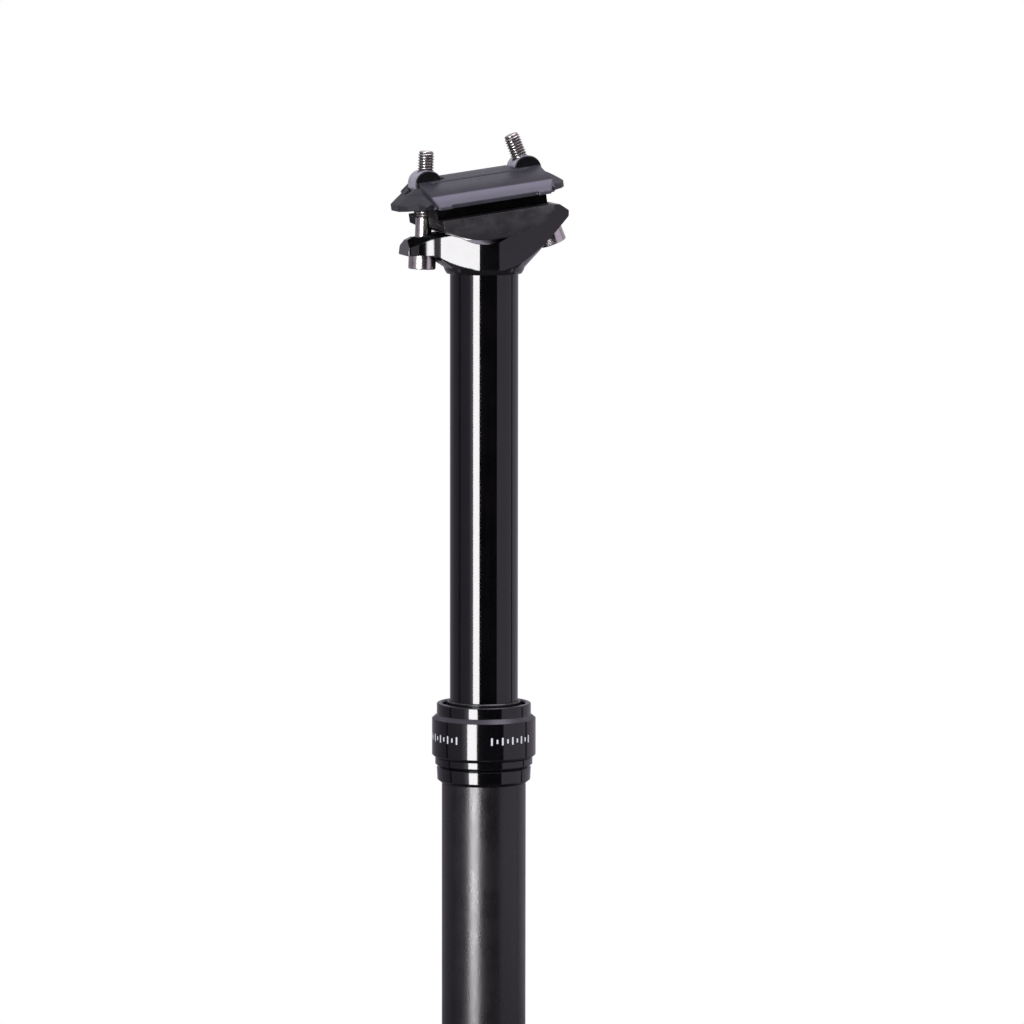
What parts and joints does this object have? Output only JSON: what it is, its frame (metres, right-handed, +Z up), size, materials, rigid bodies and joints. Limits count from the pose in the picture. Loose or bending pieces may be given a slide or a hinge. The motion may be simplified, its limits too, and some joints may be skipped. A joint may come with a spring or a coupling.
{
  "type": "dropper seatpost",
  "caption": "Telescopic bicycle seatpost that drops on a gas cartridge, with a keyed stanchion, sealed collar, cable actuator and a two-bolt tilting saddle rail clamp.",
  "frame": {"origin": "on the post's axis at the collar's lower edge, where the frame's seat tube ends at full insertion", "axes": "+Z up the post to the saddle, +X to the front of the bicycle, +Y to its left"},
  "size_m": [0.0642, 0.056, 0.4604],
  "materials": {
    "black_stanchion": "gloss black anodised",
    "black_head": "gloss black anodised",
    "grey_tube": "satin grey anodised",
    "black_collar": "gloss black anodised",
    "dark_cradle": "satin dark grey anodised",
    "dark_clamp": "satin blue-grey anodised",
    "bolt_steel": "bright steel",
    "nut_alloy": "satin silver",
    "seal_rubber": "matt black",
    "bush_polymer": "plain natural",
    "key_brass": "plain",
    "cartridge_alloy": "clear anodised",
    "rod_steel": "polished",
    "black_foot": "satin black anodised"
  },
  "bodies": {
    "outer": {"lower_tube": "grey_tube", "collar_foot": "black_collar", "collar_band": "black_collar", "seal_collar": "black_collar", "collar_seal": "seal_rubber", "dust_wiper": "seal_rubber", "guide_bush": "bush_polymer", "foot_plug": "black_foot", "plug_ring": "seal_rubber", "piston_rod": "rod_steel", "rod_nut": "bolt_steel", "main_piston": "cartridge_alloy", "piston_seal": "bush_polymer", "piston_nut": "bolt_steel", "bottom_out_bumper": "seal_rubber", "actuator_housing": "black_foot", "housing_screws": "bolt_steel", "lever_pivot_pin": "rod_steel"},
    "upper": {"stanchion": "black_stanchion", "head": "black_head", "anti_rotation_keys": "key_brass", "slide_ring": "bush_polymer", "cartridge_tube": "cartridge_alloy", "cartridge_gland": "cartridge_alloy", "rod_seal": "seal_rubber", "gland_ring": "seal_rubber", "top_out_bumper": "seal_rubber", "cartridge_cap": "cartridge_alloy", "cap_ring": "seal_rubber", "fill_valve": "rod_steel"},
    "float": {"floating_piston": "cartridge_alloy", "floating_piston_seal": "bush_polymer"},
    "clamp": {"cradle": "dark_cradle", "upper_clamp": "dark_clamp"},
    "front_swing": {"front_washer": "nut_alloy"},
    "front_bolt_body": {"front_bolt": "bolt_steel"},
    "front_nut": {"front_barrel_nut": "nut_alloy"},
    "rear_swing": {"rear_washer": "nut_alloy"},
    "rear_bolt_body": {"rear_bolt": "bolt_steel"},
    "rear_nut": {"rear_barrel_nut": "nut_alloy"},
    "lever": {"actuator_lever": "black_foot", "cable_barrel": "key_brass", "barrel_screw": "bolt_steel"},
    "valve": {"valve_pin": "rod_steel"}
  },
  "joints": [
    {"name": "post_drop", "type": "slide", "parent": "outer", "child": "upper", "axis": [0, 0, 1], "range_m": [-0.15, 0], "stiffness_N_per_m": 300, "springref_m": 0.45},
    {"name": "floating_piston_slide", "type": "slide", "parent": "upper", "child": "float", "axis": [0, 0, 1], "range_m": [0, 0.035]},
    {"name": "saddle_tilt", "type": "hinge", "parent": "upper", "child": "clamp", "pos_m": [0.005, 0, 0.2365], "axis": [0, 1, 0], "range_deg": [-8, 10]},
    {"name": "front_bolt_swing", "type": "hinge", "parent": "upper", "child": "front_swing", "pos_m": [0.0231, 0, 0.1951], "axis": [0, 1, 0], "range_deg": [-7.1, 5.7]},
    {"name": "rear_bolt_swing", "type": "hinge", "parent": "upper", "child": "rear_swing", "pos_m": [-0.0238, 0, 0.2035], "axis": [0, 1, 0], "range_deg": [-7.4, 5.9]},
    {"name": "front_nut_run", "type": "slide", "parent": "front_swing", "child": "front_nut", "axis": [-0.0402, 0, 0.9992], "range_m": [-0.0027, 0.0022]},
    {"name": "rear_nut_run", "type": "slide", "parent": "rear_swing", "child": "rear_nut", "axis": [0.3754, 0, 0.9269], "range_m": [-0.002, 0.0025]},
    {"name": "front_bolt_turn", "type": "hinge", "parent": "front_swing", "child": "front_bolt_body", "pos_m": [0.0231, 0, 0.1951], "axis": [-0.0402, 0, 0.9992], "continuous": true},
    {"name": "rear_bolt_turn", "type": "hinge", "parent": "rear_swing", "child": "rear_bolt_body", "pos_m": [-0.0238, 0, 0.2035], "axis": [0.3754, 0, 0.9269], "continuous": true},
    {"name": "lever_pull", "type": "hinge", "parent": "outer", "child": "lever", "pos_m": [0.005, 0, -0.20955], "axis": [0, 1, 0], "range_deg": [0, 15]},
    {"name": "valve_lift", "type": "slide", "parent": "outer", "child": "valve", "axis": [0, 0, 1], "range_m": [0, 0.00147], "stiffness_N_per_m": 30, "springref_m": -0.002}
  ],
  "couplings": [
    {"joint": "floating_piston_slide", "follows": "post_drop", "ratio": -0.2323},
    {"joint": "front_bolt_swing", "follows": "saddle_tilt", "ratio": -0.7035},
    {"joint": "rear_bolt_swing", "follows": "saddle_tilt", "ratio": -0.736},
    {"joint": "front_nut_run", "follows": "saddle_tilt", "m_per_rad": -0.01504},
    {"joint": "rear_nut_run", "follows": "saddle_tilt", "m_per_rad": 0.01415},
    {"joint": "lever_pull", "follows": "valve_lift", "rad_per_m": 178.57}
  ]
}
